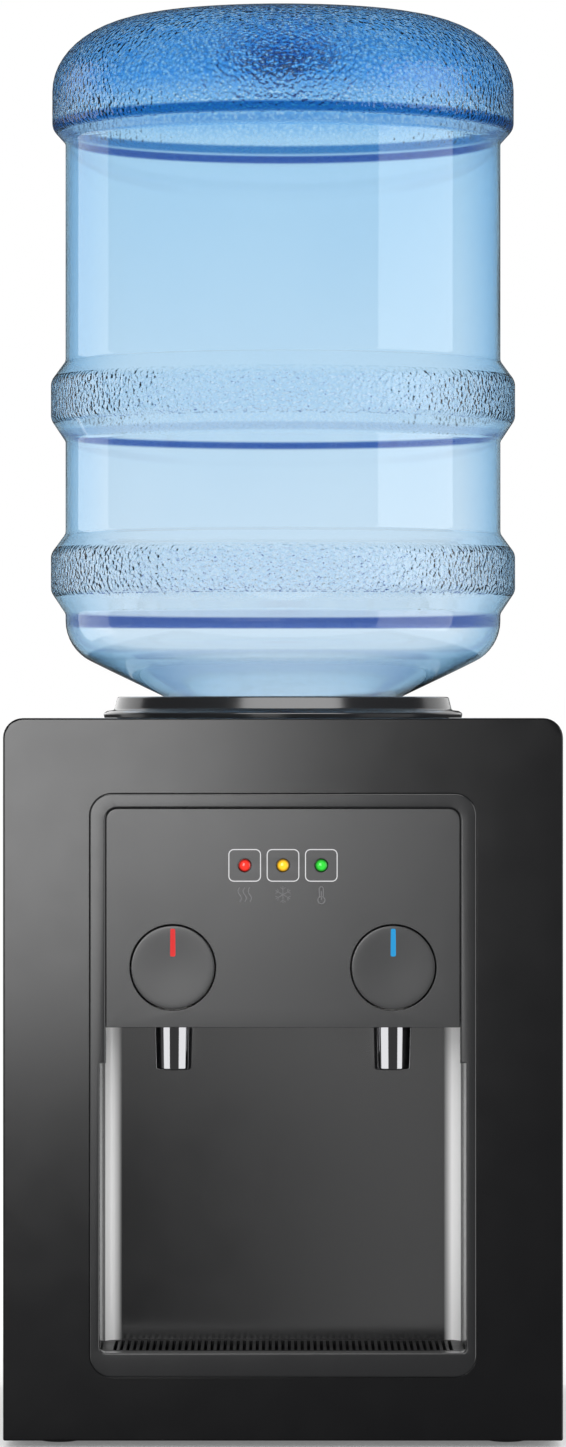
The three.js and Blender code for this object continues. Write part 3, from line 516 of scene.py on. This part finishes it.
def build_front_panel(mesh):
    low, high = PANEL
    outer = rounded((low.x, high.x), (low.z, high.z), (1.2, 1.2, 11, 11))
    gap = HAIRLINE / 2
    window = rounded(
        (BEZEL[0].x - gap, BEZEL[1].x + gap),
        (BEZEL[0].z - gap, BEZEL[1].z + gap),
        [12.5] * 4,
    )
    plate(mesh, outer, [window], low.y, high.y, 1.1, hole_edge=0.3)


def build_bezel(mesh):
    low, high = BEZEL
    outer = rounded((low.x, high.x), (low.z, high.z), [12.2] * 4, 10)
    half, wide, step = OPENING["half"], BAY["half"], BAY["step"]
    bottom, top, corner = OPENING["bottom"], OPENING["top"], OPENING["corner"]
    inner = (
        arc(-wide + 3, bottom + 3, 3, 180, 5)
        + arc(wide - 3, bottom + 3, 3, 270, 5)
        + [(wide, step), (half, step)]
        + arc(half - corner, top - corner, corner, 0)
        + arc(-half + corner, top - corner, corner, 90)
        + [(-half, step), (-wide, step)]
    )
    plate(mesh, outer, [inner], low.y, high.y, 0.9, hole_edge=1.0)


def build_control_panel(mesh):
    low, high = CONTROL
    outer = rounded((low.x, high.x), (low.z, high.z), (0.4, 0.4, 6.2, 6.2))
    ring = (BUTTON[1].x - BUTTON[0].x) / 2 + 0.7
    lens = (LAMP[1].x - LAMP[0].x) / 2 - 0.4
    holes = [circle(s * TAP_X, TAP_Z, ring, 72) for s in (-1, 1)]
    holes += [circle(k * LAMP_PITCH, LAMP_Z, lens, 32) for k in (-1, 0, 1)]
    plate(mesh, outer, holes, low.y, high.y, 0.35)


def build_lamp_frames(mesh):
    """The fine square line printed round each lamp."""
    face = CONTROL[0].y
    for k in (-1, 0, 1):
        x = k * LAMP_PITCH
        outer, inner = [
            rounded((x - half, x + half), (LAMP_Z - half, LAMP_Z + half), [corner] * 4, 6)
            for half, corner in ((9.0, 3.0), (8.5, 2.5))
        ]
        plate(mesh, outer, [inner], face - 0.06, face + 0.1, 0.02)


def strokes(mesh, lines, x, z, width=0.32):
    for line in lines:
        points = [Vector((x + u, CONTROL[0].y - 0.05, z + v)) for u, v in line]
        tube(mesh, points, width, 6)


def build_pictograms(mesh):
    """Heat waves, a snowflake and a thermometer, one under each lamp."""
    z = LAMP_Z - 16.2
    wave = [(0.9 * math.sin(i / 10 * 2 * math.pi), -4 + 8 * i / 10) for i in range(11)]
    strokes(mesh, [[(u + du, v) for u, v in wave] for du in (-2.8, 0, 2.8)], -LAMP_PITCH, z)
    bulb = arc(0, -3, 2, 0, 12, 360)
    stem = [(-1.1, -1.2), (-1.1, 3.6), (-0.5, 4.4), (0.5, 4.4), (1.1, 3.6), (1.1, -1.2)]
    strokes(mesh, [bulb, stem, [(0, -3), (0, 2)]], LAMP_PITCH, z)
    arms = []
    for k in range(3):
        turn = math.radians(60 * k + 30)
        along, across = Vector((math.cos(turn), math.sin(turn))), Vector((-math.sin(turn), math.cos(turn)))
        arms.append([tuple(along * -4.6), tuple(along * 4.6)])
        for s in (-1, 1):
            tip = along * (s * 2.8)
            out = tip + along * s * 1.3
            arms.append([tuple(out + across * 1.3), tuple(tip), tuple(out - across * 1.3)])
    strokes(mesh, arms, 0, z, 0.26)


def bay_outline(inset=0.0):
    """The bay's side walls and back as an open line, from its front left round to its front right."""
    half, back, corner = BAY["half"] - inset, BAY["back"] - inset, BAY["corner"]
    right = arc(half - corner, back - corner, corner, 0, 20)
    left = arc(-half + corner, back - corner, corner, 90, 20)
    return [(half, LINER[0].y)] + right + left + [(-half, LINER[0].y)]


def build_bay(mesh):
    """Walls, roof and floor of the recess, with round holes in the roof for the spouts."""
    roof, floor, wall = BAY["roof"], BAY["floor"], BAY["wall"]
    soft = 2.0
    inside = [(soft, floor), (0.6, floor + 0.6), (0, floor + soft), (0, roof - 0.4), (0.4, roof)]
    outside = [(-wall, roof + wall), (-wall, floor - wall)]
    rings = [[mesh.verts.new((u, v, z)) for u, v in bay_outline(i)] for i, z in inside]
    shell = [[mesh.verts.new((u, v, z)) for u, v in bay_outline(i)] for i, z in outside]
    for lower, upper in list(zip(rings, rings[1:])) + list(zip(shell, shell[1:])):
        for i in range(len(lower) - 1):
            mesh.faces.new([lower[i], lower[i + 1], upper[i + 1], upper[i]])
    holes = [
        [[mesh.verts.new((u, v, z)) for u, v in circle(s * TAP_X, SPOUT_Y, 11.0, 40)] for s in (-1, 1)]
        for z in (roof, roof + wall)
    ]
    for (left, right), ring in zip(holes, (rings[-1], shell[0])):
        for loop in (left, right, ring):
            for i in range(len(loop)):
                if not mesh.edges.get((loop[i - 1], loop[i])):
                    mesh.edges.new((loop[i - 1], loop[i]))
        cap(mesh, [ring, left, right])
    for low, high in zip(*holes):
        bridge(mesh, low, high)
    for ring in (rings[0], shell[-1]):
        mesh.edges.new((ring[0], ring[-1]))
        cap(mesh, [ring])
    for k in (0, -1):
        mesh.faces.new([ring[k] for ring in rings + shell])
    for a, b in ((rings[0], shell[-1]), (rings[-1], shell[0])):
        mesh.faces.new([a[0], a[-1], b[-1], b[0]])


def tray_loop():
    low, high = TRAY
    return rounded((low.x, high.x), (low.y, high.y), (2, 2, 8.8, 8.8))


def build_tray(mesh):
    low, high = TRAY
    wall = 2.0
    levels = [
        (2.0, low.z), (0.6, low.z + 0.6), (0, low.z + 2), (0, high.z - 0.3), (0.3, high.z),
        (wall - 0.3, high.z), (wall, high.z - 0.3), (wall, low.z + wall + 2), (wall + 2, low.z + wall),
    ]
    tub(mesh, tray_loop(), levels, level)


def build_grid(mesh):
    """A thin lift-out plate with fine slots from front to back."""
    low, high = GRID
    pitch, width, margin = 3.6, 1.7, 5.0
    count = int((high.x - low.x - 2 * margin) / pitch)
    slots = []
    for i in range(count):
        x = (i - (count - 1) / 2) * pitch
        slots.append(rounded((x - width / 2, x + width / 2), (low.y + margin, high.y - margin), [0.8] * 4, 3))
    plate(mesh, tray_loop(), slots, high.z, low.z, 0.5, level, hole_edge=0.25)


piece("front_panel_gloss", "casing", "front_gloss", build_front_panel, "front_panel")
piece("bezel", "casing", "frame_plastic", build_bezel, "bezel_frame")
piece("control_face", "casing", "control_plastic", build_control_panel, "control_panel")
piece("lamp_frames", "casing", "control_plastic", build_lamp_frames, material=PRINT_GREY)
piece("pictograms", "casing", "control_plastic", build_pictograms, material=PRINT_DIM)
piece("cup_bay", "casing", "bay_plastic", build_bay, "bay_liner", sharp=25)
piece("tray_tub", "tray", "black_plastic", build_tray, "drip_tray")
piece("tray_grid", "grid", "black_plastic", build_grid, "drip_grid")


# ---------------------------------------------------------------- taps, buttons and lamps
SKIRT_DEPTH = 9.8
DISH = 0.15


def build_button(mesh, side):
    low, high = BUTTON
    face = low.y
    radius = (high.x - low.x) / 2
    rim = radius - 1.3
    dish = []
    for i in range(13):
        r = rim * i / 12
        dish.append((r, face + DISH * math.cos(math.pi / 2 * i / 12) ** 1.4))
    lip = fillet([(rim, face, 0), (radius - 0.15, face + 0.05, 0.4), (radius, face + 2, 0)], 5)
    back = [
        (radius, face + SKIRT_DEPTH), (radius - 1.5, face + SKIRT_DEPTH), (radius - 1.5, face + 3.3),
        (5.6, face + 3.3), (5.6, high.y), (0, high.y),
    ]
    lathe(mesh, dish + lip[1:] + back, (side * TAP_X, 0, TAP_Z), "y", 128)


def build_mark(mesh, side):
    """The coloured bar let into the upper part of a button's face."""
    low, high = MARK
    half = (high.x - low.x) / 2
    loop = rounded((side * TAP_X - half, side * TAP_X + half), (low.z, high.z), [0.9] * 4, 5)
    plate(mesh, loop, [], low.y - 0.12, high.y, 0.25)


def build_spout(mesh, side):
    low, high = SPOUT
    radius = (high.x - low.x) / 2
    bore = 6.6
    profile = fillet(
        [
            (bore, high.z, 0), (radius, high.z, 0), (radius, high.z - 8, 20), (radius - 0.5, low.z, 1.1),
            (bore, low.z, 0.6), (bore, high.z, 0),
        ],
        6,
    )
    lathe(mesh, profile[:-1], (side * TAP_X, SPOUT_Y, 0), "z", 96)


def build_lens(mesh, x):
    low, high = LAMP
    radius = LENS_RADIUS
    turns = [math.pi / 2 * i / 8 for i in range(9)]
    dome = [(radius * math.sin(t), low.y + 1.6 * (1 - math.cos(t))) for t in turns]
    flange = [(radius, high.y - 1.8), (radius + 0.7, high.y - 1.8), (radius + 0.7, high.y), (0, high.y)]
    lathe(mesh, dome + flange, (x, 0, LAMP_Z), "y", 40)


def build_spring(mesh, side):
    low, high = span("cold_button_spring" if side > 0 else "hot_button_spring")
    turns = 4
    wire = 0.7
    radius = (high.z - low.z) / 2 - wire
    count = turns * 22
    points = []
    for i in range(count + 1):
        angle = 2 * math.pi * turns * i / count
        y = low.y + wire + (high.y - low.y - 2 * wire) * i / count
        points.append(Vector((side * TAP_X + radius * math.cos(angle), y, TAP_Z + radius * math.sin(angle))))
    tube(mesh, points, wire, 10)


MARK_SLOT = {"hot": "red_plastic", "cold": "blue_plastic"}
for tap, side in (("hot", -1), ("cold", 1)):
    push = f"{tap}_push"
    piece(f"{tap}_push_button", push, "control_plastic", lambda m: build_button(m, side), f"{tap}_button")
    piece(f"{tap}_mark", push, MARK_SLOT[tap], lambda m: build_mark(m, side), f"{tap}_button_mark")
    piece(f"{tap}_chrome_spout", "casing", "dark_chrome", lambda m: build_spout(m, side), f"{tap}_spout")
    coil = piece(
        f"{tap}_spring", "casing", "stainless", lambda m: build_spring(m, side), f"{tap}_button_spring"
    )
    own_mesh(coil)

for k, colour, slot, lens in (
    (-1, "red", "red_plastic", LAMP_RED),
    (0, "yellow", "amber_plastic", None),
    (1, "green", "green_plastic", LAMP_GREEN),
):
    x = k * LAMP_PITCH
    piece(f"{colour}_lamp", "casing", slot, lambda m: build_lens(m, x), f"{colour}_led", material=lens)


# ---------------------------------------------------------------- bottle, cap, collar and seat
WALL = 1.5
GATE_RADIUS = 30  # the base is thicker this far round the moulding gate at its middle
GATE_EXTRA = 2.5
BASE_START = 770  # height over which a point belongs to the base


def bottle_profile():
    """The outside of the bottle, from its neck up to the middle of its base, which is on top in use."""
    top = BOTTLE[1].z
    body = 126.0
    band = 134.5
    flat, crown_width, crown_low = 75.7, 58, 767

    def raised(low):
        return [(body, low, 4), (band, low + 12.8, 8), (band, low + 34.8, 8), (body, low + 46.4, 5)]

    corners = [
        (27.5, BOTTLE[0].z, 0), (27.5, 393.5, 5), (36, 400.8, 8), (100, 431.5, 0), (body, 444.3, 26),
        *raised(464.5), *raised(564.3),
        (body, 737, 4), (133.7, 745.5, 8), (133.7, 760, 0),
    ]
    line = fillet(corners, 8)
    turns = [math.pi / 2 * i / 14 for i in range(15)]
    rise = top - crown_low
    shoulder = [(flat + crown_width * math.cos(t), crown_low + rise * math.sin(t)) for t in turns]
    dish = fillet([(flat, top, 0), (68, top, 12), (22, 781.5, 40), (0, 778.5, 0)], 8)[1:]
    return [(point[0], point[1]) for point in line + shoulder + dish]


def build_bottle(mesh):
    outer = bottle_profile()
    inner = []
    for i, (r, z) in enumerate(outer):
        r0, z0 = outer[max(i - 1, 0)]
        r1, z1 = outer[min(i + 1, len(outer) - 1)]
        length = math.hypot(r1 - r0, z1 - z0)
        thick = WALL + max(0, 1 - r / GATE_RADIUS) * GATE_EXTRA * (z > BASE_START)
        inner.append((max(r - thick * (z1 - z0) / length, 0), z + thick * (r1 - r0) / length))
    inner[-1] = (0, inner[-1][1])
    inner[0] = (inner[0][0], outer[0][1])
    lathe(mesh, outer + inner[::-1], segments=144)


def build_bottle_cap(mesh):
    """A snap cap with a fine grip round its skirt."""
    low, high = span("bottle_cap")
    profile = fillet(
        [
            (10.6, high.z - 10, 0), (10.6, low.z, 0.8), (30.4, low.z, 2), (30.4, high.z, 0.5),
            (27.9, high.z, 0.5), (27.9, low.z + 2.5, 0.8), (12.2, low.z + 2.5, 0.5), (12.2, high.z - 10, 0),
        ],
        4,
    )
    lathe(mesh, profile, segments=96)


def build_collar(mesh):
    low, high = span("bottle_collar")
    profile = fillet(
        [
            (93.2, low.z, 0), (96.1, low.z, 0), (96.1, 404.3, 0), (103.6, 404.3, 0.4), (104, 406.9, 1.2),
            (102, 408.3, 1.6), (97.8, 408.8, 1.5), (96.0, high.z, 1.3), (93.2, high.z, 1.0),
        ],
        5,
    )
    lathe(mesh, profile, segments=144)


def build_seat(mesh):
    profile = fillet(
        [
            (33, 318, 0), (35.5, 318, 0.5), (35.5, 393, 4), (43, 400, 6), (63.5, 409.6, 2), (67.5, 406, 1.5),
            (92, 406, 0.4), (92, 408.4, 0.4), (69.8, 408.4, 2), (66.8, 414.2, 0.5), (65.6, 414.2, 0.5),
            (45, 404.3, 6), (36, 399, 5), (33, 394, 2), (33, 318, 0),
        ],
        5,
    )
    lathe(mesh, profile[:-1], segments=96)


piece("clear_bottle", "bottle_load", "bottle_plastic", build_bottle, "bottle", sharp=50)
piece("snap_cap", "bottle_load", "cap_plastic", build_bottle_cap, "bottle_cap")
piece("collar_ring", "casing", "cover_plastic", build_collar, "bottle_collar", sharp=50)
piece("seat_funnel", "casing", "white_plastic", build_seat, "bottle_seat")


# ---------------------------------------------------------------- feet, rear fittings
def build_foot(mesh, node):
    low, high = span(node)
    middle = (low + high) / 2
    profile = fillet(
        [
            (0, 0, 0), (10.5, 0, 0.6), (12, 1.2, 0.6), (12, 3.7, 0.4), (3.2, 3.7, 0.3),
            (3.2, high.z, 0.8), (0, high.z, 0),
        ],
        4,
    )
    lathe(mesh, profile, (middle.x, middle.y, 0), segments=48)


for node in sorted(name for name in NODES if name.startswith("foot_")):
    piece(node.replace("foot", "rubber_foot"), "casing", "rubber", lambda m: build_foot(m, node), node)


def build_drain_cap(mesh):
    """A round cap with a ribbed grip, hollow where it goes over its fitting."""
    low, high = span("drain_cap")
    middle = (low + high) / 2
    radius = (high.x - low.x) / 2 - HAIRLINE
    ribs = 20
    rib_depth = 0.35
    wall = 3.2
    loop = []
    for i in range(ribs * 6):
        angle = 2 * math.pi * i / (ribs * 6)
        r = radius - rib_depth + rib_depth * math.cos(angle * ribs)
        loop.append((middle.x + r * math.cos(angle), middle.z + r * math.sin(angle)))
    levels = [
        (1.4, high.y), (0.4, high.y - 0.4), (0, high.y - 1.4), (0, low.y + 0.4), (0.4, low.y),
        (wall - 0.4, low.y), (wall, low.y + 0.4), (wall, high.y - 3),
    ]
    tub(mesh, loop, levels, upright)


def build_screws(mesh):
    """Pan-head screws down the rear panel's sides, each with a round recess."""
    low, high = span("rear_panel")
    inset, rise, head = 7.0, 1.3, 3.4
    rows = [low.z + 14 + (high.z - low.z - 28) * i / 3 for i in range(4)]
    turns = [math.pi / 2 * i / 5 for i in range(1, 6)]
    dome = [(head * math.sin(t), high.y + rise * math.cos(t)) for t in turns]
    recess = [(1.0, high.y + rise - 0.9), (1.0, high.y + rise - 0.1)]
    under = [(head, high.y - 0.8), (0, high.y - 0.8), (0, high.y + rise - 0.9)]
    for x in (low.x + inset, high.x - inset):
        for z in rows:
            lathe(mesh, recess + dome + under, (x, 0, z), "y", 24)


piece("ribbed_drain_cap", "drain_plug", "black_plastic", build_drain_cap, "drain_cap")
piece("rear_screws", "casing", "stainless", build_screws)


# ---------------------------------------------------------------- carried-over CAD nodes
EASED = {
    "top_cover": 0.7, "left_side_panel": 0.5, "right_side_panel": 0.5, "rear_panel": 0.3, "base_pan": 0.4,
    "power_inlet": 0.4, "switch_housing": 0.4, "heat_switch": 0.5, "cool_switch": 0.5, "fan_frame": 0.5,
    "fan_rotor": 0.3, "heat_sink": 0.2, "cold_block": 0.4, "peltier_module": 0.2, "power_board": 0.2,
    "indicator_board": 0.2,
}


def finish_cad_nodes():
    """Gives every CAD node that still shows its slot's material and smooth rounds, and the listed ones eased
    edges.
    """
    slots = {row["node"]: row["material_slot"] for row in frame["record"]["subparts"]}
    for name, node in NODES.items():
        if node.hide_render:
            continue
        node.data.materials.clear()
        node.data.materials.append(FINISHES[slots[name]])
        node.data.shade_smooth()
        node.data.set_sharp_from_angle(angle=math.radians(SHARP_ANGLE))
        if name in EASED:
            bevel = node.modifiers.new("eased_edges", "BEVEL")
            bevel.width = EASED[name] * MM
            bevel.segments = 2
            bevel.limit_method = "ANGLE"
            keep_faces_flat(node)


finish_cad_nodes()


# ---------------------------------------------------------------- studio
CAMERA_Y = -3.46
CAMERA_Z = 0.401
LENS = 148.43
WHITE_ROOM = 1.0
DARK_ROOM = 0.06


def add_camera():
    data = bpy.data.cameras.new("camera")
    data.lens = LENS
    camera = bpy.data.objects.new("camera", data)
    camera.location = (0, CAMERA_Y, CAMERA_Z)
    camera.rotation_euler = (math.radians(90), 0, 0)
    bpy.context.scene.collection.objects.link(camera)
    bpy.context.scene.camera = camera


def add_world():
    """A white room for everything but mirror reflections, which see a dim one with softboxes in it."""
    world = bpy.data.worlds.new("room")
    world.use_nodes = True
    nodes, links = world.node_tree.nodes, world.node_tree.links
    path = nodes.new("ShaderNodeLightPath")
    reflected = nodes.new("ShaderNodeMath")  # refracted rays are glossy too, so they are taken off
    reflected.operation = "SUBTRACT"
    reflected.use_clamp = True
    links.new(path.outputs["Is Glossy Ray"], reflected.inputs[0])
    links.new(path.outputs["Is Transmission Ray"], reflected.inputs[1])
    strength = nodes.new("ShaderNodeMapRange")
    strength.inputs["To Min"].default_value = WHITE_ROOM
    strength.inputs["To Max"].default_value = DARK_ROOM
    links.new(reflected.outputs[0], strength.inputs["Value"])
    links.new(strength.outputs[0], nodes["Background"].inputs["Strength"])
    nodes["Background"].inputs["Color"].default_value = (1, 1, 1, 1)
    bpy.context.scene.world = world


def add_floor():
    """A plain pale floor that doesn't show in the glossy front."""
    made = bmesh.new()
    bmesh.ops.create_grid(made, x_segments=2, y_segments=2, size=30)
    mesh = bpy.data.meshes.new("floor")
    made.to_mesh(mesh)
    made.free()
    shader = Shader("pale_floor", Roughness=0.9, Specular_IOR_Level=0.0, Emission_Color=(1, 1, 1, 1))
    shader.drive("Base Color", shader.mix(shader.noise(3, 2), (0.84, 0.84, 0.84, 1), (0.86, 0.86, 0.86, 1)))
    shader.surface.inputs["Emission Strength"].default_value = 0.16
    mesh.materials.append(shader.material)
    floor = bpy.data.objects.new("floor", mesh)
    floor.visible_glossy = False
    bpy.context.scene.collection.objects.link(floor)


def light_group(name, pieces, state="INCLUDE"):
    """The pieces that a light is kept to, or kept from."""
    made = bpy.data.collections.new(name)
    for member in pieces:
        made.objects.link(bpy.data.objects[member])
    for member in made.collection_objects:
        member.light_linking.link_state = state
    return made


def add_softbox(name, centre, aim, width, height, radiance, only=(), but=()):
    """A rectangular light. One kept to a few pieces is shaded by nothing else."""
    data = bpy.data.lights.new(name, "AREA")
    data.shape = "RECTANGLE"
    data.size, data.size_y = width, height
    data.energy = radiance * math.pi * width * height
    lamp = bpy.data.objects.new(name, data)
    lamp.location = centre
    lamp.rotation_euler = (Vector(aim) - Vector(centre)).to_track_quat("-Z", "Y").to_euler()
    lamp.visible_camera = False
    lamp.visible_transmission = False
    if only:
        lamp.light_linking.receiver_collection = light_group(f"{name}_lights", only)
        lamp.light_linking.blocker_collection = light_group(f"{name}_shades", only)
    if but:
        lamp.light_linking.receiver_collection = light_group(f"{name}_skips", but, "EXCLUDE")
    bpy.context.scene.collection.objects.link(lamp)


def around(azimuth, distance, height):
    """A point round the object: azimuth 0 is in front of it, and 90 to its right."""
    turn = math.radians(azimuth)
    return (distance * math.sin(turn), -distance * math.cos(turn), height)


add_camera()
add_world()
add_floor()
STUDIO_DISTANCE = 2.4
WALL_Y = -3.62  # the lights that shine straight at the front hang in this plane
SPOUTS = ("hot_chrome_spout", "cold_chrome_spout")


def add_wall_box(name, x, z, radiance, **links):
    """A light behind the camera that covers the ranges x and z."""
    centre = ((x[0] + x[1]) / 2, WALL_Y, (z[0] + z[1]) / 2)
    add_softbox(name, centre, (centre[0], 0, centre[2]), x[1] - x[0], z[1] - z[0], radiance, **links)


def add_side_box(name, azimuths, height, radiance, **links):
    """A tall light round the object that covers a range of azimuths."""
    middle, half = (azimuths[0] + azimuths[1]) / 2, abs(azimuths[1] - azimuths[0]) / 2
    width = 2 * STUDIO_DISTANCE * math.tan(math.radians(half))
    add_softbox(name, around(middle, STUDIO_DISTANCE, height), (0, 0, height), width, 2.2, radiance, **links)


CONTROLS = ("control_face", "hot_push_button", "cold_push_button")
APART = ("clear_bottle", "collar_ring", "cup_bay", "hot_mark", "cold_mark", *CONTROLS, *SPOUTS)

add_wall_box("key", (-1.34, -0.04), (0.07, 1.67), 7.0, but=APART)
add_wall_box("control_key", (-1.34, 0.04), (0.17, 1.77), 6.6, only=CONTROLS)
add_side_box("right_box", (50, 92), 0.6, 2.2, but=("clear_bottle", "collar_ring", *SPOUTS))
add_side_box("left_box", (-126, -100), 0.6, 2.2, but=("clear_bottle", "collar_ring", *SPOUTS))
add_side_box("bottle_right", (50, 99), 0.6, 1.6, only=("clear_bottle",))
add_side_box("bottle_left", (-136, -103), 0.6, 1.0, only=("clear_bottle",))
add_side_box("collar_front", (-30, 42), 2.0, 7.0, only=("collar_ring",))
add_side_box("collar_right", (115, 165), 1.0, 1.2, only=("collar_ring",))
add_side_box("collar_left", (-170, -115), 1.0, 1.6, only=("collar_ring",))
add_side_box("rim_left", (-85, -35), 0.3, 1.2, only=("bezel",))
add_side_box("rim_right", (35, 85), 0.3, 1.2, only=("bezel",))
add_softbox("rim_top", (0, -1.2, 2.6), (0, 0, 0.2), 2.4, 1.2, 6.0, only=("bezel",))
add_side_box("spout_left", (-73, -24), 0.2, 1.2, only=SPOUTS)
add_side_box("spout_right", (31, 82), 0.2, 1.2, only=SPOUTS)
add_wall_box("bay_right", (0.0, 1.4), (-1.2, 1.3), 1.45, only=("cup_bay",))
add_wall_box("bay_top", (-1.3, 0.1), (0.05, 1.5), 3.0, only=("cup_bay",))
add_softbox("bay_fill", (0, -2.2, 1.1), (0, 0, 0.2), 2.0, 1.0, 1.8, only=("cup_bay",))

bpy.context.scene.view_settings.view_transform = "Standard"
